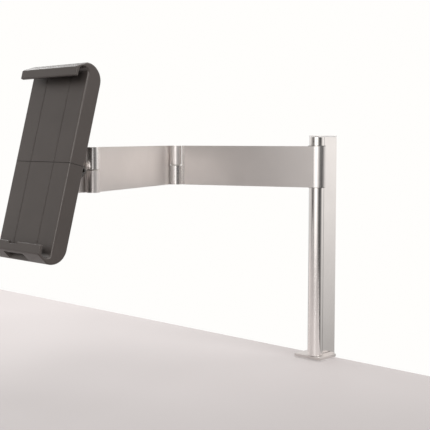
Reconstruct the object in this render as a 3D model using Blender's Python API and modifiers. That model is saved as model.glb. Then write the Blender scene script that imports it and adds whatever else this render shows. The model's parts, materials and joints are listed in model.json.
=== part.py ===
"""Tablet holder on a two-link swing arm, carried by a column that clamps to the edge of a desk.

Metres, +Z up. The origin is on the desk's top surface, under the axis of the column's round bead.
+X runs along the desk's edge, and the user sits on the -Y side.
"""

import math

import bmesh
import bpy
from mathutils import Matrix

MM = 0.001
GAP = 0.3 * MM

# Foot and clamp
DESK_THICKNESS = 25 * MM
DESK_EDGE_Y = 23 * MM
FOOT_TOP = 4.5 * MM
FOOT_X = (-24.5 * MM, 15 * MM)
FOOT_FRONT_Y = -10 * MM
PAD_THICKNESS = 1 * MM
LEG_X = (-19 * MM, 9 * MM)
LEG_BACK_Y = 28.3 * MM
JAW_TOP = -70 * MM
JAW_BOTTOM = -78 * MM
SPINDLE_AT = (-5 * MM, 3 * MM)
SPINDLE_RADIUS = 4 * MM
KNOB_TOP = -96 * MM
KNOB_HEIGHT = 14 * MM
FIN_SCREWS = (-16 * MM, -36 * MM)
FIN_SCREW_Y = 33 * MM

# Column: a round bead with a flat fin behind it
COLUMN_TOP = 276 * MM
CAP_THICKNESS = 1.5 * MM
BEAD_RADIUS = 9.4 * MM
FIN_HALF = 2 * MM
FIN_END_Y = 37.3 * MM
FIN_FOOT = -42 * MM

# Arms: cut lengths of one extrusion height, hinged on vertical pins
ARM_HEIGHT = 50 * MM
ARM_MID = 238 * MM
WEB = 5 * MM
WEB_FACE = 0.5 * MM
START_FACE = -5.7 * MM
KNUCKLE_RADIUS = 7.6 * MM
NECK_FACE = -2.5 * MM
NECK_END = 10.5 * MM
WEB_ROUND = 2.9 * MM
SPLIT = 0.7 * MM
PIN_RADIUS = 2.5 * MM
COLLAR_RADIUS = 13.5 * MM
COLLAR_BORE = 11 * MM
COLLAR_FROM = -52.5
COLLAR_TO = 160
LINER = (9.7 * MM, 10.7 * MM)
INNER_ARM = 188.46 * MM
OUTER_ARM = 199.37 * MM
INNER_ANGLE = 202.32
OUTER_ANGLE = -70.87
HOLDER_ANGLE = -91

# Tilt and turn joints behind the holder
TILT_REACH = 27.2 * MM
TILT_SIDE = -2.23 * MM
TILT_ANGLE = 15
BARREL_RADIUS = 9 * MM
BARREL_HALF = 9 * MM
HEAD_PLATE = (10 * MM, 13.5 * MM)

# Holder, in the tilt frame: x towards the user, y to the right, z along its length
FACE = 39.3 * MM
BACK = 20.2 * MM
HALF_WIDTH = 49.35 * MM
HALF_LENGTH = 105.6 * MM
WALL = 2.6 * MM
CAVITY_END = 79 * MM
CORNER_RADIUS = 18 * MM
NOSE_X = FACE + 2 * MM
LIP_FACE = FACE + 15.2 * MM
LIP_INNER = FACE + 11.5 * MM
LIP_TOP_DROP = 7.8 * MM
LIP_HEIGHT = 10 * MM
FLOOR = 5.6 * MM
SEAM = 0.2 * MM
TRAY_HALF = 72 * MM
GROOVE_AT = 21 * MM
PITCH_RADIUS = 9 * MM
TEETH = 18
RACK_TAIL = 16
LOCK_Z = -24 * MM

ROUND = 40

for thing in list(bpy.data.objects):
    bpy.data.objects.remove(thing)

parts = bpy.data.collections.new("tablet_arm")
cutters = bpy.data.collections.new("cutters")
bpy.context.scene.collection.children.link(parts)
bpy.context.scene.collection.children.link(cutters)


def material(name, colour, roughness, metallic=0.0):
    made = bpy.data.materials.new(name)
    made.use_nodes = True
    shader = made.node_tree.nodes["Principled BSDF"]
    shader.inputs["Base Color"].default_value = (*colour, 1)
    shader.inputs["Roughness"].default_value = roughness
    shader.inputs["Metallic"].default_value = metallic
    return made


ALUMINIUM = material("satin_aluminium", (0.72, 0.70, 0.68), 0.3, 1.0)
ANTHRACITE = material("anthracite_plastic", (0.075, 0.07, 0.066), 0.42)
STEEL = material("zinc_steel", (0.56, 0.57, 0.58), 0.3, 1.0)
BLACK_STEEL = material("black_steel", (0.05, 0.05, 0.05), 0.35, 1.0)
BRASS = material("brass", (0.78, 0.6, 0.3), 0.3, 1.0)
BLACK = material("black_plastic", (0.03, 0.03, 0.03), 0.45)
GREY_PLASTIC = material("grey_plastic", (0.5, 0.5, 0.49), 0.4)
NYLON = material("natural_nylon", (0.8, 0.78, 0.72), 0.5)
RUBBER = material("black_rubber", (0.02, 0.02, 0.02), 0.8)


def frame(name, parent=None, location=(0, 0, 0), rotation=(0, 0, 0)):
    """An empty on a joint's axis, which the pieces of one body hang from."""
    empty = bpy.data.objects.new(name, None)
    empty.location = location
    empty.rotation_euler = [math.radians(angle) for angle in rotation]
    empty.parent = parent
    empty.empty_display_size = 0.02
    parts.objects.link(empty)
    return empty


def piece(name, mesh, look=None, parent=None, place=Matrix()):
    """A named part, or a cutter where it has no look. place moves the mesh in its parent's frame."""
    mesh.transform(place)
    made = bpy.data.objects.new(name, mesh)
    made.parent = parent
    if look is None:
        made.hide_render = True
        made.display_type = "WIRE"
        cutters.objects.link(made)
        return made
    mesh.materials.clear()
    mesh.materials.append(look)
    mesh.shade_smooth()
    mesh.set_sharp_from_angle(angle=math.radians(30))
    parts.objects.link(made)
    return made


def cut(target, cutter, operation="DIFFERENCE"):
    boolean = target.modifiers.new(cutter.name, "BOOLEAN")
    boolean.operation = operation
    boolean.object = cutter
    boolean.solver = "EXACT"
    cutter.parent = target.parent


def soften(target, width, segments=2, angle=40):
    bevel = target.modifiers.new("edges", "BEVEL")
    bevel.width = width
    bevel.segments = segments
    bevel.limit_method = "ANGLE"
    bevel.angle_limit = math.radians(angle)


def from_bmesh(made):
    mesh = bpy.data.meshes.new("shape")
    bmesh.ops.recalc_face_normals(made, faces=made.faces)
    made.to_mesh(mesh)
    made.free()
    return mesh


def block(x, y, z):
    """A box between the two values given for each axis."""
    made = bmesh.new()
    size = [high - low for low, high in (x, y, z)]
    middle = [(low + high) / 2 for low, high in (x, y, z)]
    bmesh.ops.create_cube(made, size=1)
    bmesh.ops.scale(made, vec=size, verts=made.verts)
    bmesh.ops.translate(made, vec=middle, verts=made.verts)
    return from_bmesh(made)


def turned(profile, steps=ROUND):
    """A solid of revolution about Z from (radius, height) points, listed top to bottom on the outer side."""
    curve = bpy.data.meshes.new("profile")
    points = [(radius, 0, height) for radius, height in profile]
    edges = [(i, i + 1) for i in range(len(points) - 1)]
    if profile[0][0] > 0 or profile[-1][0] > 0:
        edges.append((len(points) - 1, 0))
    curve.from_pydata(points, edges, [])
    carrier = bpy.data.objects.new("turned", curve)
    cutters.objects.link(carrier)
    screw = carrier.modifiers.new("turn", "SCREW")
    screw.steps = steps
    screw.render_steps = steps
    screw.use_merge_vertices = True
    screw.merge_threshold = 0.00001
    return baked(carrier)


def baked(carrier):
    """The evaluated mesh of a helper object, welded, and the helper removed."""
    bpy.context.view_layer.update()
    graph = bpy.context.evaluated_depsgraph_get()
    mesh = bpy.data.meshes.new_from_object(carrier.evaluated_get(graph))
    welded = bmesh.new()
    welded.from_mesh(mesh)
    bmesh.ops.remove_doubles(welded, verts=welded.verts, dist=0.000001)
    bmesh.ops.dissolve_limit(welded, angle_limit=math.radians(1), verts=welded.verts, edges=welded.edges)
    bmesh.ops.recalc_face_normals(welded, faces=welded.faces)
    welded.to_mesh(mesh)
    welded.free()
    bpy.data.objects.remove(carrier)
    return mesh


def cylinder(radius, low, high, steps=ROUND):
    return turned([(0, high), (radius, high), (radius, low), (0, low)], steps)


def tube(inner, outer, low, high, steps=ROUND):
    return turned([(inner, high), (outer, high), (outer, low), (inner, low)], steps)


def extruded(outline, low, high, *holes):
    """A flat outline in X and Y, given as points, with straight sides from low to high. holes are outlines too."""
    curve = bpy.data.curves.new("outline", "CURVE")
    curve.dimensions = "2D"
    curve.fill_mode = "BOTH"
    curve.extrude = (high - low) / 2
    for loop in (outline, *holes):
        spline = curve.splines.new("POLY")
        spline.points.add(len(loop) - 1)
        for point, (x, y) in zip(spline.points, loop):
            point.co = (x, y, 0, 1)
        spline.use_cyclic_u = True
    carrier = bpy.data.objects.new("outline", curve)
    cutters.objects.link(carrier)
    mesh = baked(carrier)
    mesh.transform(Matrix.Translation((0, 0, (low + high) / 2)))
    return mesh


def arc(centre, radius, start, end, steps=16):
    """Points of an arc from one angle in degrees to another, either way round."""
    angles = [math.radians(start + (end - start) * i / steps) for i in range(steps + 1)]
    return [(centre[0] + radius * math.cos(a), centre[1] + radius * math.sin(a)) for a in angles]


def along(axis):
    """Turns a shape made along Z so that it lies along X or Y."""
    return {
        "X": Matrix.Rotation(math.radians(90), 4, "Y"),
        "Y": Matrix.Rotation(math.radians(-90), 4, "X"),
    }[axis]


def moved(x=0.0, y=0.0, z=0.0):
    return Matrix.Translation((x, y, z))


# ---------------------------------------------------------------- clamp and column


def clamp_frame():
    side = [
        (FOOT_FRONT_Y, FOOT_TOP),
        (LEG_BACK_Y, FOOT_TOP),
        (LEG_BACK_Y, JAW_BOTTOM),
        (-16 * MM, JAW_BOTTOM),
        (-16 * MM, JAW_TOP),
        (DESK_EDGE_Y + GAP, JAW_TOP),
        (DESK_EDGE_Y + GAP, PAD_THICKNESS + GAP),
        (FOOT_FRONT_Y, PAD_THICKNESS + GAP),
    ]
    upright = Matrix(((0, 0, 1, 0), (1, 0, 0, 0), (0, 1, 0, 0), (0, 0, 0, 1)))
    body = piece("clamp_frame", extruded(side, *LEG_X), ALUMINIUM, place=upright)
    plate = block(FOOT_X, (FOOT_FRONT_Y, DESK_EDGE_Y - GAP), (PAD_THICKNESS + GAP, FOOT_TOP))
    cut(body, piece("foot_plate", plate), "UNION")
    for side_sign in (-1, 1):
        inner, outer = side_sign * (FIN_HALF + GAP), side_sign * (FIN_HALF + 4.3 * MM)
        ear = block(
            (min(inner, outer), max(inner, outer)),
            (LEG_BACK_Y - 1 * MM, FIN_END_Y),
            (FIN_FOOT - 2 * MM, -8 * MM),
        )
        cut(body, piece(f"ear_{side_sign}", ear), "UNION")
    for i, height in enumerate(FIN_SCREWS):
        hole = cylinder(2.7 * MM, -12 * MM, 12 * MM, 20)
        place = moved(y=FIN_SCREW_Y, z=height) @ along("X")
        cut(body, piece(f"ear_hole_{i}", hole, place=place))
    cut(body, piece("insert_hole", cylinder(7.3 * MM, -90 * MM, -60 * MM), place=moved(*SPINDLE_AT)))
    countersink = [
        (0, 10 * MM),
        (2.9 * MM, 10 * MM),
        (2.9 * MM, 4 * MM),
        (5.4 * MM, 1.3 * MM),
        (5.4 * MM, 0),
        (0, 0),
    ]
    cut(body, piece("foot_screw_hole", turned(countersink, 24)))


def desk_pad():
    inset = 0.2 * MM
    sides = (FOOT_X[0] + inset, FOOT_X[1] - inset)
    depth = (FOOT_FRONT_Y + inset, DESK_EDGE_Y - 1 * MM)
    piece("desk_pad", block(sides, depth, (0, PAD_THICKNESS)), GREY_PLASTIC)


def column_outline():
    half_angle = math.degrees(math.asin(FIN_HALF / BEAD_RADIUS))
    bead = arc((0, 0), BEAD_RADIUS, 90 + half_angle, 450 - half_angle, 44)
    return bead + [(FIN_HALF, FIN_END_Y), (-FIN_HALF, FIN_END_Y)]


def column():
    outline = column_outline()
    top = COLUMN_TOP - CAP_THICKNESS - GAP
    body = piece("column_profile", extruded(outline, FOOT_TOP + GAP, top), ALUMINIUM)
    tongue = block(
        (-FIN_HALF, FIN_HALF),
        (LEG_BACK_Y + GAP, FIN_END_Y),
        (FIN_FOOT, FOOT_TOP + 5 * MM),
    )
    cut(body, piece("fin_tongue", tongue), "UNION")
    cut(body, piece("screw_port", cylinder(2.7 * MM, 0, COLUMN_TOP, 20)))
    for i, height in enumerate(FIN_SCREWS):
        hole = cylinder(2.7 * MM, -12 * MM, 12 * MM, 20)
        place = moved(y=FIN_SCREW_Y, z=height) @ along("X")
        cut(body, piece(f"fin_hole_{i}", hole, place=place))
    cap = piece("column_cap", extruded(outline, COLUMN_TOP - CAP_THICKNESS, COLUMN_TOP), GREY_PLASTIC)
    plug = cylinder(2.3 * MM, COLUMN_TOP - 12 * MM, COLUMN_TOP - 0.5 * MM, 20)
    cut(cap, piece("cap_plug", plug), "UNION")


def foot_screw():
    shape = [
        (0, 24 * MM),
        (2.4 * MM, 24 * MM),
        (2.4 * MM, 3.8 * MM),
        (4.6 * MM, 1.5 * MM),
        (2 * MM, 1.5 * MM),
        (1.6 * MM, 3 * MM),
        (0, 3 * MM),
    ]
    piece("column_foot_screw", turned(shape, 24), STEEL)


def hexagon(across, low, high):
    return extruded(arc((0, 0), across / math.sqrt(3), 0, 300, 5), low, high)


def hex_nut(name, across, low, high, bore, place, parent=None, look=STEEL):
    nut = piece(name, hexagon(across, low, high), look, parent, place)
    cut(nut, piece(f"{name}_bore", cylinder(bore, low - 1 * MM, high + 1 * MM, 20), None, None, place))


def cap_screw(name, shaft, low, high, head, head_height, place, parent=None, look=STEEL):
    """A cylinder-head screw along Z, its shaft from low to high and its socketed head above that."""
    top = high + head_height
    shape = [
        (0, top - head_height * 0.5),
        (shaft * 0.7, top - head_height * 0.5),
        (shaft * 0.8, top),
        (head, top),
        (head, high),
        (shaft, high),
        (shaft, low),
        (0, low),
    ]
    return piece(name, turned(shape, 24), look, parent, place)


def fin_fasteners():
    side = FIN_HALF + 4.3 * MM
    for name, height in zip(("upper", "lower"), FIN_SCREWS):
        place = moved(y=FIN_SCREW_Y, z=height) @ along("X")
        cap_screw(f"fin_screw_{name}", 2.4 * MM, -side - 5 * MM, side + GAP, 4.2 * MM, 4 * MM, place)
        hex_nut(f"fin_nut_{name}", 8 * MM, -side - GAP - 3.6 * MM, -side - GAP, 2.7 * MM, place)


def clamp_screw():
    at = moved(*SPINDLE_AT)
    insert = [
        (4.4 * MM, JAW_TOP - 0.3 * MM),
        (7 * MM, JAW_TOP - 0.3 * MM),
        (7 * MM, JAW_BOTTOM - GAP),
        (9.5 * MM, JAW_BOTTOM - GAP),
        (9.5 * MM, JAW_BOTTOM - GAP - 1.5 * MM),
        (4.4 * MM, JAW_BOTTOM - GAP - 1.5 * MM),
    ]
    piece("jaw_insert", turned(insert, 32), BRASS, place=at)

    press = frame("pressure_foot", location=(SPINDLE_AT[0], SPINDLE_AT[1], -DESK_THICKNESS))
    piece("pressure_pad", cylinder(12.5 * MM, -1 * MM, 0, 32), RUBBER, press)
    plate = [
        (0, -1.3 * MM),
        (13 * MM, -1.3 * MM),
        (13 * MM, -4 * MM),
        (9.5 * MM, -6.3 * MM),
        (3.4 * MM, -6.3 * MM),
        (3.4 * MM, -3.2 * MM),
        (0, -3.2 * MM),
    ]
    piece("pressure_plate", turned(plate, 32), STEEL, press)
    piece("retaining_clip", tube(2.6 * MM, 9 * MM, -7.4 * MM, -6.6 * MM, 28), STEEL, press)

    turn = frame("spindle", press)
    bottom = KNOB_TOP - KNOB_HEIGHT + DESK_THICKNESS + 2 * MM
    rod = [
        (0, -3.5 * MM),
        (3 * MM, -3.5 * MM),
        (3 * MM, -6.3 * MM),
        (2.2 * MM, -6.3 * MM),
        (2.2 * MM, -9 * MM),
        (SPINDLE_RADIUS, -11 * MM),
        (SPINDLE_RADIUS, bottom),
        (0, bottom),
    ]
    piece("clamp_spindle", turned(rod, 32), STEEL, turn)
    low, high = KNOB_TOP - KNOB_HEIGHT + DESK_THICKNESS, KNOB_TOP + DESK_THICKNESS
    star = []
    for i in range(80):
        angle = 2 * math.pi * i / 80
        radius = (18 + 3 * math.cos(5 * angle)) * MM
        star.append((radius * math.cos(angle), radius * math.sin(angle)))
    knob = piece("clamp_knob", extruded(star, low, high), BLACK, turn)
    soften(knob, 1.6 * MM, 2)
    bore = cylinder(SPINDLE_RADIUS + GAP, bottom - GAP, high + 1 * MM, 32)
    cut(knob, piece("knob_bore", bore))


# ---------------------------------------------------------------- arms


def line_angle(length):
    """The web's face leaves the collar as a tangent and ends WEB_FACE from the elbow's axis."""
    return -math.asin((COLLAR_RADIUS - WEB_FACE) / length)


def inner_arm_outline():
    """The inner arm seen from above, x from the column's axis to the elbow's."""
    slope = line_angle(INNER_ARM)
    tangent = 90 + math.degrees(slope)
    back = COLLAR_RADIUS - WEB
    leave = tangent - math.degrees(math.acos(back / COLLAR_RADIUS))

    def on_line(x, offset):
        """The point at x of the line that runs offset from the collar's axis, along the web."""
        return (x, (offset + x * math.sin(slope)) / math.cos(slope))

    end = INNER_ARM - NECK_END
    corner = on_line(end - WEB_ROUND, COLLAR_RADIUS - WEB_ROUND)
    outline = arc((0, 0), COLLAR_RADIUS, COLLAR_FROM, leave, 14)
    outline += web_end(INNER_ARM, on_line(end, back)) + [(end, NECK_FACE)]
    outline += arc(corner, WEB_ROUND, 0, tangent, 6)
    outline += arc((0, 0), COLLAR_RADIUS, tangent, COLLAR_TO, 12)
    outline += arc((0, 0), COLLAR_BORE, COLLAR_TO, COLLAR_FROM, 28)
    return outline


def web_end(x, back):
    """A knuckle at x, joined by a thin neck to a web that ends at back."""
    side = WEB - WEB_FACE
    low = math.degrees(math.asin(side / KNUCKLE_RADIUS))
    high = math.degrees(math.asin(-NECK_FACE / KNUCKLE_RADIUS))
    round_end = arc((x, 0), KNUCKLE_RADIUS, 180 + low, 540 + high, 30)
    return [back] + round_end


def web_start():
    """The knuckle at x = 0 from which a web starts: its own far side runs on into the web."""
    crease = math.degrees(math.asin(START_FACE / KNUCKLE_RADIUS))
    round_end = arc((0, 0), KNUCKLE_RADIUS, crease, 262, 36)
    return round_end + [(1.5 * MM, START_FACE - WEB)]


def outer_arm_outline():
    """The outer arm seen from above, x from the elbow's axis to the wrist's."""
    side = WEB_FACE - WEB
    low = math.degrees(math.asin(-side / KNUCKLE_RADIUS))
    high = math.degrees(math.asin(WEB_FACE / KNUCKLE_RADIUS))
    return arc((OUTER_ARM, 0), KNUCKLE_RADIUS, 180 + low, 540 - high, 30) + web_start()


def clear_knuckle(target, x, upper):
    """Mills one half of a knuckle away, so that the next arm's knuckle fits there."""
    half = ARM_HEIGHT / 2
    low, high = (-SPLIT, half + 1 * MM) if upper else (-half - 1 * MM, SPLIT)
    tool = cylinder(KNUCKLE_RADIUS + 0.6 * MM, low, high, 36)
    cut(target, piece(f"mill_{target.name}_{x:.3f}", tool, place=moved(x=x)))


def bores(target, x, upper):
    """A bushed bore in one knuckle, with a counterbore for its cap at the arm's edge."""
    half = ARM_HEIGHT / 2
    low, high = (-1 * MM, half + 1 * MM) if upper else (-half - 1 * MM, 1 * MM)
    edge = (half - 2.1 * MM, half + 1 * MM) if upper else (-half - 1 * MM, -half + 2.1 * MM)
    tag = f"{target.name}_{x:.3f}_{upper}"
    cut(target, piece(f"bore_{tag}", cylinder(4.2 * MM, low, high, 24), place=moved(x=x)))
    cut(target, piece(f"counterbore_{tag}", cylinder(4.7 * MM, *edge, 24), place=moved(x=x)))


def hinge_pieces(name, parent, x):
    """The pin, bushes, washer and caps of one vertical hinge."""
    half = ARM_HEIGHT / 2
    at = moved(x=x)
    piece(f"{name}_pin", cylinder(PIN_RADIUS, -half + 2.4 * MM, half - 2.4 * MM, 24), STEEL, parent, at)
    piece(f"{name}_washer", tube(2.9 * MM, 6.2 * MM, -0.4 * MM, 0.4 * MM, 28), NYLON, parent, at.copy())
    for side, low, high in (
        ("upper", SPLIT + GAP, half - 2.5 * MM),
        ("lower", -half + 2.5 * MM, -SPLIT - GAP),
    ):
        piece(f"{name}_bush_{side}", tube(2.9 * MM, 3.9 * MM, low, high, 24), NYLON, parent, at.copy())
    for side, low in (("upper", half - 1.9 * MM), ("lower", -half + 0.1 * MM)):
        cap = cylinder(4.4 * MM, low, low + 1.8 * MM, 24)
        piece(f"{name}_cap_{side}", cap, GREY_PLASTIC, parent, at.copy())


def inner_arm(parent):
    half = ARM_HEIGHT / 2
    arm = piece("inner_arm", extruded(inner_arm_outline(), -half, half), ALUMINIUM, parent)
    clear_knuckle(arm, INNER_ARM, True)
    bores(arm, INNER_ARM, False)
    grub = Matrix.Rotation(math.radians(-35), 4, "Z") @ along("X")
    cut(arm, piece("set_screw_hole", cylinder(2.3 * MM, 9 * MM, 16 * MM, 20), place=grub))
    shape = [
        (0, 13 * MM),
        (1.2 * MM, 13 * MM),
        (1.2 * MM, 14.2 * MM),
        (2 * MM, 14.2 * MM),
        (2 * MM, 11.1 * MM),
        (0, 11.1 * MM),
    ]
    piece("collar_set_screw", turned(shape, 20), STEEL, parent, grub.copy())


def collar_liner(parent):
    """A plastic sleeve that slides on the bead and is kept from turning by the fin."""
    half = ARM_HEIGHT / 2 + 0.6 * MM
    open_half = 16
    outline = arc((0, 0), LINER[1], 90 + open_half, 450 - open_half, 48)
    outline += arc((0, 0), LINER[0], 450 - open_half, 90 + open_half, 48)
    piece("collar_liner", extruded(outline, -half, half), BLACK, parent)


def outer_arm(parent):
    half = ARM_HEIGHT / 2
    arm = piece("outer_arm", extruded(outer_arm_outline(), -half, half), ALUMINIUM, parent)
    clear_knuckle(arm, 0, False)
    clear_knuckle(arm, OUTER_ARM, True)
    bores(arm, 0, True)
    bores(arm, OUTER_ARM, False)


# ---------------------------------------------------------------- wrist bracket and tilt


def wrist_bracket(parent):
    half = ARM_HEIGHT / 2
    side = START_FACE - WEB
    front = TILT_REACH - 8 * MM
    outline = [(front, side), (front, START_FACE)] + web_start()
    bracket = piece("wrist_bracket", extruded(outline, -half, half), ALUMINIUM, parent)
    clear_knuckle(bracket, 0, False)
    across = (side + 0.5 * MM, START_FACE - 0.5 * MM)
    nose = block((front - 2 * MM, TILT_REACH), across, (-7 * MM, 7 * MM))
    cut(bracket, piece("bracket_nose", nose), "UNION")
    place = moved(x=TILT_REACH, y=TILT_SIDE) @ along("Y")
    barrel = cylinder(BARREL_RADIUS, -BARREL_HALF, BARREL_HALF, 36)
    cut(bracket, piece("bracket_barrel", barrel, place=place), "UNION")
    cut(bracket, piece("barrel_bore", cylinder(3.4 * MM, -20 * MM, 20 * MM, 24), place=place.copy()))
    bores(bracket, 0, True)


def tilt_head(parent):
    """A fork over the bracket's barrel, with the flat plate that the holder turns on."""
    cheek_in = BARREL_HALF + GAP + 1 * MM + GAP
    cheek_out = cheek_in + 4 * MM
    plate = block(HEAD_PLATE, (-16 * MM, 16 * MM), (-13 * MM, 13 * MM))
    head = piece("tilt_head", plate, BLACK_STEEL, parent)
    for sign in (-1, 1):
        low, high = sorted((sign * cheek_in, sign * cheek_out))
        arm = block((0, HEAD_PLATE[0] + 1 * MM), (low, high), (-7.3 * MM, 7.3 * MM))
        cut(head, piece(f"cheek_arm_{sign}", arm), "UNION")
        eye = piece(f"cheek_eye_{sign}", cylinder(8 * MM, low, high, 32), place=along("Y"))
        cut(head, eye, "UNION")
    cut(head, piece("axle_hole", cylinder(3.3 * MM, -30 * MM, 30 * MM, 24), place=along("Y")))
    cut(head, piece("head_thread", cylinder(3.3 * MM, 5 * MM, 20 * MM, 24), place=along("X")))
    for sign, name in ((-1, "left"), (1, "right")):
        low, high = sorted((sign * (BARREL_HALF + GAP), sign * (BARREL_HALF + GAP + 1 * MM)))
        piece(f"tilt_washer_{name}", tube(3.4 * MM, 8 * MM, low, high, 28), BLACK, parent, along("Y"))
    shaft_end, head_start = -cheek_out - 6 * MM, cheek_out + GAP
    cap_screw("tilt_bolt", 3 * MM, shaft_end, head_start, 5 * MM, 5 * MM, along("Y"), parent, BLACK_STEEL)
    low, high = -cheek_out - GAP - 4.5 * MM, -cheek_out - GAP
    hex_nut("tilt_nut", 10 * MM, low, high, 3.3 * MM, along("Y"), parent, BLACK_STEEL)


# ---------------------------------------------------------------- holder


def jaw_outline():
    """Half of the holder's side view, as (x, z) points: the back, the round corner, the nose and the lip."""
    corner = (BACK + CORNER_RADIUS, HALF_LENGTH - CORNER_RADIUS)
    lip_top = HALF_LENGTH - LIP_TOP_DROP
    lip_end = lip_top - LIP_HEIGHT
    pocket = LIP_INNER - FACE
    outline = [(BACK, SEAM)] + arc(corner, CORNER_RADIUS, 180, 90, 12)
    outline += [(NOSE_X, HALF_LENGTH - 0.2 * MM)]
    outline += [(LIP_FACE - 1.2 * MM, lip_top + 0.6 * MM), (LIP_FACE, lip_top - 0.8 * MM)]
    outline += [(LIP_FACE, lip_end + 0.6 * MM), (LIP_FACE - 0.6 * MM, lip_end), (LIP_INNER, lip_end)]
    bottom = (FACE + pocket / 2, HALF_LENGTH - FLOOR - pocket / 2)
    outline += arc(bottom, pocket / 2, 0, 180, 12)
    return outline + [(FACE, SEAM)]


def jaw(name, parent, sign):
    """One telescoping half of the holder: a hollow box that ends in a hooked lip."""
    outline = [(x, sign * z) for x, z in jaw_outline()]
    upright = Matrix.Rotation(math.radians(90), 4, "X")
    shell = piece(name, extruded(outline, -HALF_WIDTH, HALF_WIDTH), ANTHRACITE, parent, upright)
    low, high = sorted((-5 * sign * MM, sign * CAVITY_END))
    inside = HALF_WIDTH - WALL
    cavity = block((BACK + WALL, FACE - WALL), (-inside, inside), (low, high))
    cut(shell, piece(f"{name}_cavity", cavity))
    notch = cylinder(14.6 * MM, BACK - 5 * MM, BACK + WALL + 1 * MM, 36)
    cut(shell, piece(f"{name}_notch", notch, place=along("X")))
    for side in (-1, 1):
        across = (side * GROOVE_AT - 0.8 * MM, side * GROOVE_AT + 0.8 * MM)
        low, high = sorted((-5 * sign * MM, sign * (HALF_LENGTH - 14 * MM)))
        groove = block((FACE - 0.15 * MM, FACE + 3 * MM), across, (low, high))
        cut(shell, piece(f"{name}_groove_{side}", groove))
    return shell


def holder(parent):
    core = frame("holder_turn", parent)
    tray_x = (BACK + WALL + GAP, BACK + WALL + GAP + 2.5 * MM)
    inside = HALF_WIDTH - WALL - GAP
    tray = piece("slide_tray", block(tray_x, (-inside, inside), (-TRAY_HALF, TRAY_HALF)), STEEL, core)
    for sign in (-1, 1):
        low, high = sorted((sign * inside, sign * (inside - 3 * MM)))
        rail = block((tray_x[0], FACE - WALL - GAP), (low, high), (-TRAY_HALF, TRAY_HALF))
        cut(tray, piece(f"tray_rail_{sign}", rail), "UNION")
    hub = cylinder(14 * MM, HEAD_PLATE[1] + 1.6 * MM, tray_x[0] + 1 * MM, 36)
    cut(tray, piece("tray_hub", hub, place=along("X")), "UNION")
    cut(tray, piece("tray_bore", cylinder(3.4 * MM, 5 * MM, 40 * MM, 24), place=along("X")))
    washer = tube(3.4 * MM, 13 * MM, HEAD_PLATE[1] + GAP, HEAD_PLATE[1] + 1.3 * MM, 32)
    piece("turn_washer", washer, NYLON, core, along("X"))
    head = tray_x[1] + GAP
    bolt = [
        (0, head + 3 * MM),
        (2.2 * MM, head + 3 * MM),
        (2.4 * MM, head + 5 * MM),
        (5.6 * MM, head + 5 * MM),
        (5.6 * MM, head),
        (3 * MM, head),
        (3 * MM, HEAD_PLATE[0] + 0.2 * MM),
        (0, HEAD_PLATE[0] + 0.2 * MM),
    ]
    piece("turn_bolt", turned(bolt, 28), STEEL, parent, along("X"))

    upper = frame("upper_slide", core)
    lower = frame("lower_slide", core)
    jaw("upper_jaw", upper, 1)
    lower_jaw = jaw("lower_jaw", lower, -1)
    charging_openings(lower_jaw)
    lock_screw(lower_jaw, lower, tray_x[0])
    jaw_pad("upper_jaw_pad", upper, 1)
    jaw_pad("lower_jaw_pad", lower, -1)
    rack_and_pinion(core, upper, lower, head)


def charging_openings(shell):
    """A notch in the lower lip, and a wide slot in the nose below it, for a charging lead."""
    lip_end = -(HALF_LENGTH - LIP_TOP_DROP - LIP_HEIGHT)
    depth = (lip_end - 2.5 * MM, lip_end + 3 * MM)
    notch = block((LIP_INNER - 3 * MM, LIP_FACE + 3 * MM), (-8 * MM, 8 * MM), depth)
    cut(shell, piece("lip_notch", notch))
    slot = block(
        (FACE + 3 * MM, LIP_INNER + 0.4 * MM),
        (-18 * MM, 18 * MM),
        (-HALF_LENGTH - 5 * MM, -HALF_LENGTH + FLOOR + 5 * MM),
    )
    cut(shell, piece("lead_slot", slot))


def jaw_pad(name, parent, sign):
    """A rubber strip on the inside of the lip."""
    top = HALF_LENGTH - LIP_TOP_DROP - LIP_HEIGHT
    low, high = sorted((sign * (top + 1 * MM), sign * (top + 5.5 * MM)))
    if sign < 0:
        high -= 2 * MM
    strip = block((LIP_INNER - GAP - 1.2 * MM, LIP_INNER - GAP), (-44 * MM, 44 * MM), (low, high))
    piece(name, strip, RUBBER, parent)


def lock_screw(shell, parent, tray_face):
    """A knurled screw in the lower half's back that presses on the tray."""
    hole = cylinder(2.8 * MM, BACK - 2 * MM, BACK + WALL + 1 * MM, 20)
    cut(shell, piece("lock_hole", hole, place=moved(z=LOCK_Z) @ along("X")))
    top = tray_face - 0.2 * MM
    shape = [
        (0, top),
        (2.4 * MM, top),
        (2.4 * MM, BACK - GAP),
        (7 * MM, BACK - GAP),
        (7 * MM, BACK - GAP - 5 * MM),
        (0, BACK - GAP - 5 * MM),
    ]
    turn = frame("lock_turn", parent, (0, 0, LOCK_Z))
    piece("lock_screw", turned(shape, 32), BLACK, turn, along("X"))


def tooth_row(count, pitch, root, tip):
    """(position, height) points of straight-sided teeth along a line, starting and ending at the root."""
    points = []
    for i in range(count):
        for place, height in ((-0.32, root), (-0.12, tip), (0.12, tip), (0.32, root)):
            points.append(((i + place) * pitch, height))
    return points


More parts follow.
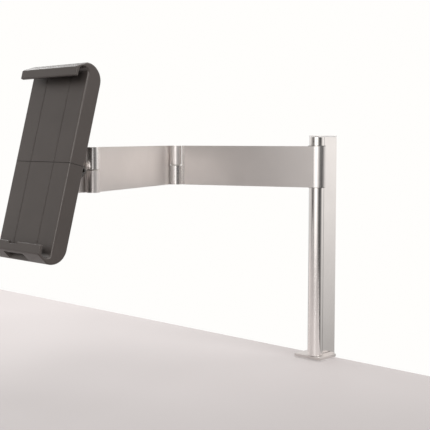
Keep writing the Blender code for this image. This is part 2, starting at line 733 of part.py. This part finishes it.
def rack_and_pinion(core, upper, lower, low):
    """Two racks on one pinion make the halves travel the same distance in opposite directions."""
    high = low + 4 * MM
    pitch = 2 * math.pi * PITCH_RADIUS / TEETH
    root, tip = PITCH_RADIUS - 1.2 * MM, PITCH_RADIUS + 0.7 * MM
    wheel = []
    for place, radius in tooth_row(TEETH, 2 * math.pi / TEETH, root, tip):
        wheel.append((radius * math.cos(place), radius * math.sin(place)))
    bore = arc((0, 0), 5.9 * MM, 0, 350, 35)
    turn = frame("pinion_turn", core)
    piece("centring_pinion", extruded(wheel, low, high, bore), NYLON, turn, along("X"))
    root, tip = PITCH_RADIUS + 1.2 * MM, PITCH_RADIUS - 0.7 * MM
    back, foot, end = PITCH_RADIUS + 5 * MM, CAVITY_END - 5 * MM, CAVITY_END - GAP
    screw_z, screw_y = CAVITY_END - 2.8 * MM, 18 * MM
    for name, parent, sign in (("upper", upper, 1), ("lower", lower, -1)):
        row = tooth_row(38, pitch, root, tip)
        teeth = [(place - RACK_TAIL * pitch, height) for place, height in row]
        outline = teeth + [(end, root), (end, 22 * MM), (foot, 22 * MM), (foot, back), (teeth[0][0], back)]
        hole = arc((screw_z, screw_y), 1.5 * MM, 0, 337.5, 15)
        loops = [[(-sign * z, sign * y) for z, y in loop] for loop in (outline, hole)]
        flat = extruded(loops[0], low, high, loops[1])
        piece(f"{name}_rack", flat, NYLON, parent, along("X"))
        at = moved(y=sign * screw_y, z=sign * screw_z)
        shell = parts.objects[f"{name}_jaw"]
        boss = cylinder(2.3 * MM, high + GAP, FACE - 1 * MM, 20)
        cut(shell, piece(f"{name}_boss", boss, place=at @ along("X")), "UNION")
        hole = cylinder(1.4 * MM, high - 1 * MM, high + 7 * MM, 16)
        cut(shell, piece(f"{name}_boss_hole", hole, place=at @ along("X")))
        place = at @ moved(x=low - GAP) @ along("X") @ Matrix.Rotation(math.pi, 4, "X")
        cap_screw(f"{name}_rack_screw", 1.15 * MM, -10 * MM, 0, 2.1 * MM, 1.5 * MM, place, parent)


def build():
    clamp_frame()
    desk_pad()
    column()
    foot_screw()
    fin_fasteners()
    clamp_screw()

    carriage = frame("height_carriage", location=(0, 0, ARM_MID))
    collar_liner(carriage)
    swing = frame("arm_swing", carriage, rotation=(0, 0, INNER_ANGLE))
    inner_arm(swing)
    hinge_pieces("elbow", swing, INNER_ARM)
    elbow = frame("elbow_axis", swing, (INNER_ARM, 0, 0), (0, 0, OUTER_ANGLE - INNER_ANGLE))
    outer_arm(elbow)
    hinge_pieces("wrist", elbow, OUTER_ARM)
    wrist = frame("wrist_axis", elbow, (OUTER_ARM, 0, 0), (0, 0, HOLDER_ANGLE - OUTER_ANGLE))
    wrist_bracket(wrist)
    tilt = frame("tilt_axis", wrist, (TILT_REACH, TILT_SIDE, 0), (0, -TILT_ANGLE, 0))
    tilt_head(tilt)
    holder(tilt)


build()
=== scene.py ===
"""The looks of the tablet arm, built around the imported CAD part."""

import json
import math

import bmesh
import bpy
from mathutils import Matrix, Vector

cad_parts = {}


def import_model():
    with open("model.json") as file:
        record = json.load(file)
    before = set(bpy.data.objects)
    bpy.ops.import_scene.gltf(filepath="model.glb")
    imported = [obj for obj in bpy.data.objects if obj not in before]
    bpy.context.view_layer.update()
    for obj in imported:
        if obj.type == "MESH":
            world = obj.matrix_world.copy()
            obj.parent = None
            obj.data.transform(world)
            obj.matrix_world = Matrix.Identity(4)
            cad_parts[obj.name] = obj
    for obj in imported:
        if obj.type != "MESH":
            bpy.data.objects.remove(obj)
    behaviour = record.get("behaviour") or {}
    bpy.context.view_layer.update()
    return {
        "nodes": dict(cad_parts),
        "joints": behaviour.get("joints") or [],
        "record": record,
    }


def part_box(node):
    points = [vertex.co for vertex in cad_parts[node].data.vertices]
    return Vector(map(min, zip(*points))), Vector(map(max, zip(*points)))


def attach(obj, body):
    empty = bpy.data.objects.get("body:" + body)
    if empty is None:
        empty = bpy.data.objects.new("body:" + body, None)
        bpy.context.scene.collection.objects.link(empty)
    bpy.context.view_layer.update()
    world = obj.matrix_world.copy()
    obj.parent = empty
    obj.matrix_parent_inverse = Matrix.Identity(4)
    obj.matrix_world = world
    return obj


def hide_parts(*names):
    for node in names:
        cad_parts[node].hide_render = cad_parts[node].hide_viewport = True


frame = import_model()
NODES = frame["nodes"]
JOINTS = {joint["name"]: joint for joint in frame["joints"]}
BODY = {node: body for body, nodes in frame["record"]["behaviour"]["bodies"].items() for node in nodes}
SLOTS = {row["node"]: row["material_slot"] for row in frame["record"]["subparts"]}

MM = 0.001

# ---------------------------------------------------------------- materials


class Shader:
    """A Principled material with short calls for its nodes."""

    def __init__(self, name, **values):
        self.material = bpy.data.materials.new(name)
        self.material.use_nodes = True
        self.tree = self.material.node_tree
        self.main = self.tree.nodes["Principled BSDF"]
        for key, value in values.items():
            self.main.inputs[key].default_value = value

    def node(self, kind, **values):
        made = self.tree.nodes.new(kind)
        for key, value in values.items():
            setattr(made, key, value)
        return made

    def link(self, source, target):
        self.tree.links.new(source, target)

    def position(self, scale=(1, 1, 1)):
        """The point on the piece in metres, in the shared frame, stretched by scale."""
        coordinates = self.node("ShaderNodeTexCoord")
        mapping = self.node("ShaderNodeMapping")
        mapping.inputs["Scale"].default_value = scale
        self.link(coordinates.outputs["Object"], mapping.inputs["Vector"])
        return mapping.outputs["Vector"]

    def noise(self, vector, scale, detail):
        made = self.node("ShaderNodeTexNoise")
        made.inputs["Scale"].default_value = scale
        made.inputs["Detail"].default_value = detail
        self.link(vector, made.inputs["Vector"])
        return made.outputs["Fac"]

    def remap(self, value, low, high, source=(0.3, 0.7)):
        made = self.node("ShaderNodeMapRange")
        made.inputs["From Min"].default_value = source[0]
        made.inputs["From Max"].default_value = source[1]
        made.inputs["To Min"].default_value = low
        made.inputs["To Max"].default_value = high
        self.link(value, made.inputs["Value"])
        return made.outputs["Result"]

    def blend(self, factor, low, high):
        """A colour between two, by factor."""
        ramp = self.node("ShaderNodeValToRGB")
        ramp.color_ramp.elements[0].color = (*low, 1)
        ramp.color_ramp.elements[1].color = (*high, 1)
        ramp.color_ramp.elements[0].position = 0.3
        ramp.color_ramp.elements[1].position = 0.7
        self.link(factor, ramp.inputs["Fac"])
        return ramp.outputs["Color"]

    def colour(self, factor, low, high):
        self.link(self.blend(factor, low, high), self.main.inputs["Base Color"])

    def clouded(self, base, scale, detail, dark):
        """Colours the piece in soft patches between base and dark times base, and returns the patches."""
        cloud = self.noise(self.position(), scale, detail)
        self.colour(cloud, base, [value * dark for value in base])
        return cloud

    def gloss(self, value, low, high):
        """Roughness between low and high, by value."""
        self.link(self.remap(value, low, high), self.main.inputs["Roughness"])

    def bump(self, height, strength, distance):
        made = self.node("ShaderNodeBump")
        made.inputs["Strength"].default_value = strength
        made.inputs["Distance"].default_value = distance
        self.link(height, made.inputs["Height"])
        self.link(made.outputs["Normal"], self.main.inputs["Normal"])


def anodised(name, base=(0.865, 0.836, 0.817), roughness=0.17):
    """Satin anodised aluminium, with the fine upright lines that extrusion leaves."""
    shader = Shader(name, Metallic=1.0)
    lines = shader.noise(shader.position((5200, 5200, 12)), scale=1.0, detail=2.0)
    shader.clouded(base, scale=28.0, detail=3.0, dark=0.955)
    shader.gloss(lines, roughness - 0.04, roughness + 0.05)
    shader.bump(lines, strength=0.06, distance=0.01 * MM)
    return shader.material


def coated(name, base=(0.066, 0.056, 0.051)):
    """Fine-textured anthracite coating."""
    shader = Shader(name, Metallic=0.25)
    grain = shader.noise(shader.position(), scale=2600.0, detail=2.0)
    shader.clouded(base, scale=30.0, detail=4.0, dark=0.9)
    shader.gloss(grain, 0.33, 0.42)
    shader.bump(grain, strength=0.2, distance=0.02 * MM)
    return shader.material


def plated(name, base=(0.58, 0.585, 0.6)):
    """Plated steel: bright, with cloudy patches."""
    shader = Shader(name, Metallic=1.0)
    cloud = shader.clouded(base, scale=180.0, detail=5.0, dark=0.82)
    shader.gloss(cloud, 0.2, 0.36)
    shader.bump(cloud, strength=0.1, distance=0.02 * MM)
    return shader.material


def brass(name):
    """Turned brass, with the fine rings that turning leaves round Z."""
    shader = Shader(name, Metallic=1.0)
    turning = shader.noise(shader.position((40, 40, 3000)), scale=1.0, detail=2.0)
    shader.colour(turning, (0.72, 0.52, 0.24), (0.8, 0.62, 0.32))
    shader.gloss(turning, 0.22, 0.34)
    shader.bump(turning, strength=0.2, distance=0.03 * MM)
    return shader.material


def moulded(name, base, roughness=0.45, grain_scale=1600.0):
    """Moulded plastic with a fine spark-eroded grain."""
    shader = Shader(name)
    grain = shader.noise(shader.position(), grain_scale, detail=2.0)
    shader.clouded(base, scale=60.0, detail=3.0, dark=0.85)
    shader.gloss(grain, roughness - 0.05, roughness + 0.07)
    shader.bump(grain, strength=0.3, distance=0.04 * MM)
    return shader.material


# Darker copy for broad faces, lighter copy for knuckles and edges: painted shade and painted sheen; their
# roughness differs for real.
SHADED_BRUSHED_FINISH = anodised("brushed_aluminium_painted_shade", (0.715, 0.68, 0.66), 0.36)
SHEEN_ROUND_FINISH = anodised("round_aluminium_painted_sheen", (0.8, 0.775, 0.76), 0.24)
MATERIALS = {
    "satin_aluminium": anodised("satin_aluminium"),
    "anthracite_plastic": coated("anthracite_plastic"),
    "zinc_steel": plated("zinc_steel"),
    "black_steel": plated("black_steel", (0.12, 0.115, 0.11)),
    "brass": brass("brass"),
    "black_plastic": moulded("black_plastic", (0.022, 0.022, 0.022)),
    "grey_plastic": moulded("grey_plastic", (0.74, 0.72, 0.705), 0.4),
    "natural_nylon": moulded("natural_nylon", (0.76, 0.73, 0.66), 0.5, 900.0),
    "black_rubber": moulded("black_rubber", (0.018, 0.018, 0.018), 0.75, 1100.0),
}

# ---------------------------------------------------------------- pieces

# These pieces have brushed faces: the ones larger than this area in square metres, and the ones that aren't
# upright. Their other faces keep the shine of the extrusion. The brushed faces are also darker and the
# others
# lighter: painted shade and painted sheen, besides the real difference in roughness.
BRUSHED = {"inner_arm": 0.0008, "outer_arm": 0, "wrist_bracket": 0.0003, "clamp_frame": 0}
UPRIGHT = 0.05  # the most that an upright face's normal rises or falls
SHARP = math.radians(30)


def look_of(node, made):
    """The bmesh as the node's visible piece, in the node's material."""
    name = f"{node}_look"
    mesh = bpy.data.meshes.new(name)
    made.to_mesh(mesh)
    made.free()
    mesh.materials.clear()
    mesh.materials.append(MATERIALS[SLOTS[node]])
    mesh.shade_smooth()
    piece = bpy.data.objects.new(name, mesh)
    bpy.context.scene.collection.objects.link(piece)
    return piece


def settle(piece, *nodes):
    """The piece stands for these CAD nodes: it hides them and rides their body."""
    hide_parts(*nodes)
    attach(piece, BODY[nodes[0]])


def cleaned(node):
    """The CAD node's own shape as a bmesh, welded, with its flat faces whole."""
    mesh = NODES[node].data.copy()
    mesh.transform(NODES[node].matrix_world)
    clean = bmesh.new()
    clean.from_mesh(mesh)
    bpy.data.meshes.remove(mesh)
    bmesh.ops.remove_doubles(clean, verts=clean.verts, dist=0.002 * MM)
    bmesh.ops.dissolve_limit(clean, angle_limit=math.radians(0.6), verts=clean.verts, edges=clean.edges)
    return clean


def flat_in_light(piece):
    """Keeps the flat faces flat in the light beside their rounded edges."""
    flat = piece.modifiers.new("flat faces", "WEIGHTED_NORMAL")
    flat.weight = 100
    flat.keep_sharp = True


def rounded(piece, width, segments=2):
    """Rounds the sharp edges."""
    bevel = piece.modifiers.new("edges", "BEVEL")
    bevel.width = width
    bevel.segments = segments
    bevel.limit_method = "ANGLE"
    bevel.angle_limit = SHARP
    flat_in_light(piece)


def refined(node, width):
    """The CAD node's own shape with its edges rounded, in its grain and colour; on the brushed pieces, with
    painted shade and sheen too.
    """
    piece = look_of(node, cleaned(node))
    if node in BRUSHED:
        mesh = piece.data
        mesh.materials.clear()
        mesh.materials.append(SHEEN_ROUND_FINISH)
        mesh.materials.append(SHADED_BRUSHED_FINISH)
        # Broad and non-upright faces take the darker copy (painted shade), the rest the lighter one
        # (painted sheen).
        for face in mesh.polygons:
            face.material_index = int(face.area > BRUSHED[node] or abs(face.normal.z) > UPRIGHT)
    rounded(piece, width)
    settle(piece, node)


HOLDER_FACE = 39.3 * MM  # how far the face stands in front of the tilt axis
HOLDER_ROUNDING = 2.5 * MM  # at the sides of the silhouette; the other edges take a share of it
SIDE_LOSS = 0.7  # the share that the sides' rounding loses from the face to the lip
SIDE_LOSS_RISE = 7 * MM  # the height above the face where it has lost it
LIP_RISE = 11 * MM  # edges higher above the face than this are the lip's
LIP_SHARE = 0.16
FACE_SHARE = 0.1
INNER_SHARE = 0.05  # on the seam between the halves and inside them


def holder_frame():
    """The tilt axis's place, and the directions outward from the face, across and along the holder."""
    at = Vector(JOINTS["tilt"]["pos_m"])
    across = -Vector(JOINTS["tilt"]["axis"]).normalized()
    out = Vector(JOINTS["holder_turn"]["axis"]).normalized()
    along = Vector(JOINTS["upper_slide"]["axis"]).normalized()
    return at, out, across, along


def holder_half(node):
    """One half of the holder: its silhouette's long edges well rounded, its lip's edges less so."""
    at, out, across, along = holder_frame()
    clean = cleaned(node)
    shares = clean.edges.layers.float.new("bevel_weight_edge")
    half = max(abs((vertex.co - at).dot(across)) for vertex in clean.verts)
    inner_half = half - 1 * MM
    inner_face = HOLDER_FACE - 0.5 * MM
    for edge in clean.edges:
        if len(edge.link_faces) != 2 or edge.calc_face_angle(0) < SHARP:
            continue
        ends = [vertex.co - at for vertex in edge.verts]
        at_side = all(abs(abs(end.dot(across)) - half) < 0.05 * MM for end in ends)
        on_seam = all(abs(end.dot(along)) < 1 * MM for end in ends)
        inside = all(abs(end.dot(across)) < inner_half and end.dot(out) < inner_face for end in ends)
        rise = sum(end.dot(out) for end in ends) / 2 - HOLDER_FACE
        if on_seam or inside:
            edge[shares] = INNER_SHARE
        elif at_side:
            edge[shares] = 1.0 - SIDE_LOSS * min(max(rise / SIDE_LOSS_RISE, 0), 1)
        elif rise > LIP_RISE:
            edge[shares] = LIP_SHARE
        else:
            edge[shares] = FACE_SHARE
    piece = look_of(node, clean)
    bevel = piece.modifiers.new("edges", "BEVEL")
    bevel.width = HOLDER_ROUNDING
    bevel.segments = 4
    bevel.limit_method = "WEIGHT"
    bevel.use_clamp_overlap = False
    flat_in_light(piece)
    settle(piece, node)


# ---------------------------------------------------------------- screws, nuts and knobs

# Radii of shaft and head, the head's height, and the socket's width across its flats.
FIN_SCREW = {"shaft": 2.4 * MM, "head": 4.2 * MM, "head_height": 4 * MM, "across": 4 * MM}
TILT_BOLT = {"shaft": 3 * MM, "head": 5 * MM, "head_height": 5 * MM, "across": 5 * MM}
# Width across the flats, and the bore's radius.
FIN_NUT = {"across": 8 * MM, "bore": 2.7 * MM}
TILT_NUT = {"across": 10 * MM, "bore": 3.3 * MM}
# Radii of head and shaft, and the head's height.
LOCK_KNOB = {"radius": 7 * MM, "shaft": 2.4 * MM, "head_height": 5 * MM}

SPINDLE_RADIUS = 4 * MM
SPINDLE_THREAD_END = 7.5 * MM  # below the spindle's upper end
# The spindle's neck above its thread: radius, and depth below the upper end.
SPINDLE_NECK = (
    (3.2 * MM, 7.2 * MM),
    (2.2 * MM, 5.5 * MM),
    (2.2 * MM, 2.8 * MM),
    (3 * MM, 2.8 * MM),
    (3 * MM, 0),
)


def axis_place(at, axis):
    """The matrix that puts a shape made along Z at a point, along an axis."""
    turn = Vector(axis).to_track_quat("Z", "Y").to_matrix().to_4x4()
    return Matrix.Translation(at) @ turn


def bearing(vertex):
    return math.atan2(vertex.co.y, vertex.co.x)


def hexagon(across, turn):
    """How far a hexagon's side is from its middle in the direction turn."""
    return across / 2 / math.cos((turn + math.pi / 6) % (math.pi / 3) - math.pi / 6)


def ring(made, reaches, height):
    """Adds a ring of points about Z, evenly turned, at these distances from it."""
    points = []
    for i, reach in enumerate(reaches):
        turn = 2 * math.pi * i / len(reaches)
        points.append(made.verts.new((reach * math.cos(turn), reach * math.sin(turn), height)))
    return points


def skin(made, below, above):
    """Adds the faces between two rings."""
    for i in range(len(below)):
        j = (i + 1) % len(below)
        made.faces.new((below[i], below[j], above[j], above[i]))


def lathe(made, profile, steps):
    """Adds a surface of revolution about Z from (radius, height) points. Radius 0 closes an end."""
    rings = []
    for radius, height in profile:
        if radius == 0:
            rings.append([made.verts.new((0, 0, height))])
        else:
            rings.append(ring(made, [radius] * steps, height))
    for above, below in zip(rings, rings[1:]):
        for i in range(steps):
            corners = [above[i % len(above)], above[(i + 1) % len(above)]]
            corners += [below[(i + 1) % len(below)], below[i % len(below)]]
            made.faces.new(list(dict.fromkeys(corners)))
    return rings


def knurled(made, radius, steps, period, places, scale):
    """Draws in some points of the rings of this radius: the ones at these places of every period."""
    for vertex in made.verts:
        if abs(math.hypot(vertex.co.x, vertex.co.y) - radius) < 0.01 * MM:
            if round(bearing(vertex) / (2 * math.pi) * steps) % period in places:
                vertex.co.x *= scale
                vertex.co.y *= scale


def finished(node, made, place, width, segments):
    """The shape in its place as the node's visible piece, with its edges rounded."""
    bmesh.ops.recalc_face_normals(made, faces=made.faces)
    piece = look_of(node, made)
    piece.data.transform(place)
    rounded(piece, width, segments)
    settle(piece, node)


def socket_screw(node, at, axis, low, high, shaft, head, head_height, across):
    """A cylinder-head screw with a hexagon socket and a knurled head, its threads cut as fine rings."""
    made = bmesh.new()
    steps = 48
    under_head = high - head_height
    pitch, thread, point, shank = 0.8 * MM, 0.3 * MM, 0.6 * MM, 1 * MM
    profile = [(0, low), (shaft - 0.5 * MM, low)]
    for i in range(int((under_head - shank - low - point) / pitch)):
        start = low + point + i * pitch
        profile += [(shaft, start), (shaft - thread, start + pitch / 2)]
    profile += [(shaft, under_head - 0.4 * MM), (shaft, under_head)]
    profile += [(head, under_head), (head, high), (across * 0.62, high)]
    rim = sorted(lathe(made, profile, steps)[-1], key=bearing)
    socket_floor = high - head_height * 0.55
    mouth, floor = [], []
    for vertex in rim:
        turn = bearing(vertex)
        reach = hexagon(across, turn)
        corner = (reach * math.cos(turn), reach * math.sin(turn))
        mouth.append(made.verts.new((*corner, high)))
        floor.append(made.verts.new((*corner, socket_floor)))
    skin(made, rim, mouth)
    skin(made, mouth, floor)
    made.faces.new(floor)
    knurled(made, head, steps, period=2, places=(1,), scale=0.985)
    finished(node, made, axis_place(at, axis), 0.12 * MM, 1)


def threaded_rod(node, at, low, high, radius, neck):
    """The clamp's spindle, with a rolled thread between its neck and its knob."""
    made = bmesh.new()
    steps, rows_per_turn = 36, 4
    pitch, thread = 1.25 * MM, 0.72 * MM
    rows = []
    for i in range(int((high - low) / pitch) * rows_per_turn + 1):
        phases = [(i / rows_per_turn + j / steps) % 1 for j in range(steps)]
        reaches = [radius - thread * abs(2 * phase - 1) for phase in phases]
        rows.append(ring(made, reaches, low + i / rows_per_turn * pitch))
    rows += [ring(made, [reach] * steps, height) for reach, height in neck]
    for below, above in zip(rows, rows[1:]):
        skin(made, below, above)
    made.faces.new(rows[0][::-1])
    made.faces.new(rows[-1])
    bmesh.ops.recalc_face_normals(made, faces=made.faces)
    piece = look_of(node, made)
    piece.data.transform(Matrix.Translation(at))
    piece.data.set_sharp_from_angle(angle=math.radians(45))
    settle(piece, node)


def knurled_knob(node, at, axis, low, tip, radius, shaft, head_height):
    """A small hand screw: a knurled, dished head on a plain shaft."""
    made = bmesh.new()
    steps = 72
    high = low + head_height
    dish, chamfer = 0.8 * MM, 0.4 * MM
    profile = [
        (0, low + dish),
        (radius * 0.6, low + dish),
        (radius * 0.72, low),
        (radius * 0.93, low),
        (radius, low + chamfer),
        (radius, low + head_height / 2),
        (radius, high - chamfer),
        (radius * 0.93, high),
        (shaft, high),
        (shaft, tip),
        (0, tip),
    ]
    lathe(made, profile, steps)
    knurled(made, radius, steps, period=4, places=(0, 1), scale=0.955)
    finished(node, made, axis_place(at, axis), 0.12 * MM, 2)


def hex_nut(node, at, axis, low, high, across, bore):
    """A nut with its corners chamfered by turning."""
    made = bmesh.new()
    steps = 48
    chamfer = 0.5 * MM
    corner = across / math.sqrt(3)
    sides = [hexagon(across, 2 * math.pi * j / steps) for j in range(steps)]
    turned = [min(side, corner * 0.9) for side in sides]
    rows = [ring(made, turned, low), ring(made, sides, low + chamfer)]
    rows += [ring(made, sides, high - chamfer), ring(made, turned, high)]
    rows += [ring(made, [bore] * steps, height) for height in (high, low)]
    for below, above in zip(rows, rows[1:] + rows[:1]):
        skin(made, below, above)
    finished(node, made, axis_place(at, axis), 0.1 * MM, 1)


def middle(node):
    low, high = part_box(node)
    return (low + high) / 2


def span(node, at, direction):
    """How far the CAD node reaches from a point along a direction, least and most."""
    reaches = [(vertex.co - at).dot(direction) for vertex in NODES[node].data.vertices]
    return min(reaches), max(reaches)


def hardware():
    """Screws, nuts and knobs, each in its CAD node's place."""
    across_fin = Vector((1, 0, 0))
    for side in ("upper", "lower"):
        low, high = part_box(f"fin_screw_{side}")
        at = middle(f"fin_screw_{side}")
        at.x = 0
        socket_screw(f"fin_screw_{side}", at, across_fin, low.x, high.x, **FIN_SCREW)
        low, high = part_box(f"fin_nut_{side}")
        at = middle(f"fin_nut_{side}")
        at.x = 0
        hex_nut(f"fin_nut_{side}", at, across_fin, low.x, high.x, **FIN_NUT)

    tilt_at, out, across, _ = holder_frame()
    socket_screw("tilt_bolt", tilt_at, across, *span("tilt_bolt", tilt_at, across), **TILT_BOLT)
    hex_nut("tilt_nut", tilt_at, across, *span("tilt_nut", tilt_at, across), **TILT_NUT)

    lock_at = Vector(JOINTS["lock_turn"]["pos_m"])
    knurled_knob("lock_screw", lock_at, out, *span("lock_screw", lock_at, out), **LOCK_KNOB)

    spindle = Vector(JOINTS["spindle_turn"]["pos_m"])
    spindle.z = 0
    low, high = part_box("clamp_spindle")
    neck = [(radius, high.z - depth) for radius, depth in SPINDLE_NECK]
    threaded_rod("clamp_spindle", spindle, low.z, high.z - SPINDLE_THREAD_END, SPINDLE_RADIUS, neck)


HOLDER_HALVES = ("upper_jaw", "lower_jaw")
HARDWARE = ("fin_screw_upper", "fin_screw_lower", "fin_nut_upper", "fin_nut_lower")
HARDWARE += ("tilt_bolt", "tilt_nut", "lock_screw", "clamp_spindle")

for name in NODES:
    if name not in HOLDER_HALVES + HARDWARE:
        refined(name, 0.2 * MM if name == "clamp_frame" else 0.3 * MM)
for name in HOLDER_HALVES:
    holder_half(name)
hardware()

# ---------------------------------------------------------------- stage, light and camera

DESK_EDGE = 23 * MM
DESK_THICKNESS = 25 * MM
DESK_CORNERS = (-1.1, -0.9, -DESK_THICKNESS), (0.7, DESK_EDGE, 0)


def stage_box(name, low, high, look):
    made = bmesh.new()
    bmesh.ops.create_cube(made, size=1)
    bmesh.ops.scale(made, vec=[b - a for a, b in zip(low, high)], verts=made.verts)
    bmesh.ops.translate(made, vec=[(a + b) / 2 for a, b in zip(low, high)], verts=made.verts)
    mesh = bpy.data.meshes.new(name)
    made.to_mesh(mesh)
    made.free()
    mesh.materials.append(look)
    thing = bpy.data.objects.new(name, mesh)
    bpy.context.scene.collection.objects.link(thing)


def desk():
    """A pale matt desk top whose colour darkens a little towards its front corner: painted shade for the
    fall of the light across it.
    """
    shader = Shader("desk_top", Roughness=0.55)
    point = shader.position()
    cloud = shader.noise(point, scale=3.0, detail=2.0)
    # Painted shade: the colour is scaled along a fixed direction over the desk, darkest at its front
    # corner.
    shade_gradient = shader.node("ShaderNodeVectorMath", operation="DOT_PRODUCT")
    shade_gradient.inputs[1].default_value = (-0.824, 0.567, 0)
    shader.link(point, shade_gradient.inputs[0])
    painted_falloff = shader.remap(shade_gradient.outputs["Value"], 0.496, 1.026, source=(-0.5, 0.4))
    shaded_colour = shader.node("ShaderNodeVectorMath", operation="SCALE")
    shader.link(shader.blend(cloud, (0.58, 0.543, 0.538), (0.57, 0.533, 0.528)), shaded_colour.inputs[0])
    shader.link(painted_falloff, shaded_colour.inputs["Scale"])
    shader.link(shaded_colour.outputs["Vector"], shader.main.inputs["Base Color"])
    stage_box("desk", *DESK_CORNERS, shader.material)


# Brightness of the studio round the object, by compass direction in degrees from +X, as the eye rates it:
# 1 is white. Two dark cards stand at the sides of the brightest softbox, the one near 300 degrees.
STUDIO = (
    (0, 0.3),
    (12, 0.36),
    (24, 0.66),
    (44, 0.97),
    (70, 0.97),
    (84, 0.7),
    (110, 0.85),
    (198, 0.93),
    (220, 0.8),
    (238, 0.62),
    (252, 0.86),
    (265, 0.6),
    (276, 0.9),
    (288, 1.2),
    (308, 1.2),
    (322, 0.9),
    (340, 0.42),
    (352, 0.3),
)
EYE_GAMMA = 2.2
STUDIO_STRENGTH = 1.15
STUDIO_TINT = (1, 0.97, 0.95)
BACKDROP = (1, 0.991, 0.973, 1)


def world():
    """A white backdrop, and the studio's softboxes and dark cards as the metal sees them."""
    made = bpy.data.worlds.new("studio")
    bpy.context.scene.world = made
    made.use_nodes = True
    nodes, links = made.node_tree.nodes, made.node_tree.links
    direction = nodes.new("ShaderNodeSeparateXYZ")
    links.new(nodes.new("ShaderNodeTexCoord").outputs["Generated"], direction.inputs[0])
    compass = nodes.new("ShaderNodeMath")
    compass.operation = "ARCTAN2"
    links.new(direction.outputs["Y"], compass.inputs[0])
    links.new(direction.outputs["X"], compass.inputs[1])
    turn = nodes.new("ShaderNodeMapRange")
    turn.inputs["From Min"].default_value = -math.pi
    turn.inputs["From Max"].default_value = math.pi
    links.new(compass.outputs[0], turn.inputs["Value"])
    ramp = nodes.new("ShaderNodeValToRGB")
    ramp.color_ramp.interpolation = "EASE"
    stops = sorted(
        (((degrees + 180) % 360) / 360, value**EYE_GAMMA * STUDIO_STRENGTH) for degrees, value in STUDIO
    )
    ends = (stops[0][1] + stops[-1][1]) / 2
    first, last = ramp.color_ramp.elements
    first.color = last.color = (ends, ends, ends, 1)
    for place, value in stops:
        ramp.color_ramp.elements.new(place).color = (*(value * part for part in STUDIO_TINT), 1)
    links.new(turn.outputs["Result"], ramp.inputs["Fac"])
    height = nodes.new("ShaderNodeMapRange")
    height.interpolation_type = "SMOOTHSTEP"
    height.inputs["From Min"].default_value = -0.32
    height.inputs["From Max"].default_value = 0.05
    height.inputs["To Min"].default_value = 0.35
    height.inputs["To Max"].default_value = 1.0
    links.new(direction.outputs["Z"], height.inputs["Value"])
    sky = nodes["Background"]
    links.new(ramp.outputs["Color"], sky.inputs["Color"])
    links.new(height.outputs["Result"], sky.inputs["Strength"])
    plain = nodes.new("ShaderNodeBackground")
    plain.inputs["Color"].default_value = BACKDROP
    path = nodes.new("ShaderNodeLightPath")
    mix = nodes.new("ShaderNodeMixShader")
    links.new(path.outputs["Is Camera Ray"], mix.inputs["Fac"])
    links.new(sky.outputs["Background"], mix.inputs[1])
    links.new(plain.outputs["Background"], mix.inputs[2])
    links.new(mix.outputs["Shader"], nodes["World Output"].inputs["Surface"])


# Name, place, the point it faces, width and power in watts.
LIGHTS = (
    ("overhead", (-0.1, 0.25, 1.8), (-0.1, -0.15, 0.1), 1.4, 16),
    ("side", (1.7, -0.1, 1.3), (-0.1, -0.3, 0.2), 0.9, 20),
    ("edge", (0.90, -1.41, 0.76), (-0.1, -0.3, 0.25), 0.4, 6),
    ("back", (-1.39, 0.155, 1.09), (-0.1, -0.3, 0.25), 0.5, 3),
)


def softbox(name, at, towards, width, power):
    light = bpy.data.lights.new(name, "AREA")
    light.shape = "RECTANGLE"
    light.size = light.size_y = width
    light.energy = power
    thing = bpy.data.objects.new(name, light)
    thing.location = at
    thing.rotation_euler = (Vector(towards) - Vector(at)).to_track_quat("-Z", "Y").to_euler()
    bpy.context.scene.collection.objects.link(thing)


CAMERA_PLACE = (0.6997, -0.9040, 0.2740)
CAMERA_AZIMUTH = math.radians(43.98)
CAMERA_PITCH = math.radians(-4.79)


def camera():
    """A long lens, a little above the arm and looking slightly down."""
    lens = bpy.data.cameras.new("camera")
    lens.sensor_width = 36
    lens.lens = 77.86
    lens.clip_end = 20
    thing = bpy.data.objects.new("camera", lens)
    thing.location = CAMERA_PLACE
    thing.rotation_euler = (math.radians(90) + CAMERA_PITCH, 0, CAMERA_AZIMUTH)
    bpy.context.scene.collection.objects.link(thing)
    bpy.context.scene.camera = thing


desk()
world()
for light in LIGHTS:
    softbox(*light)
camera()
bpy.context.scene.view_settings.view_transform = "Standard"
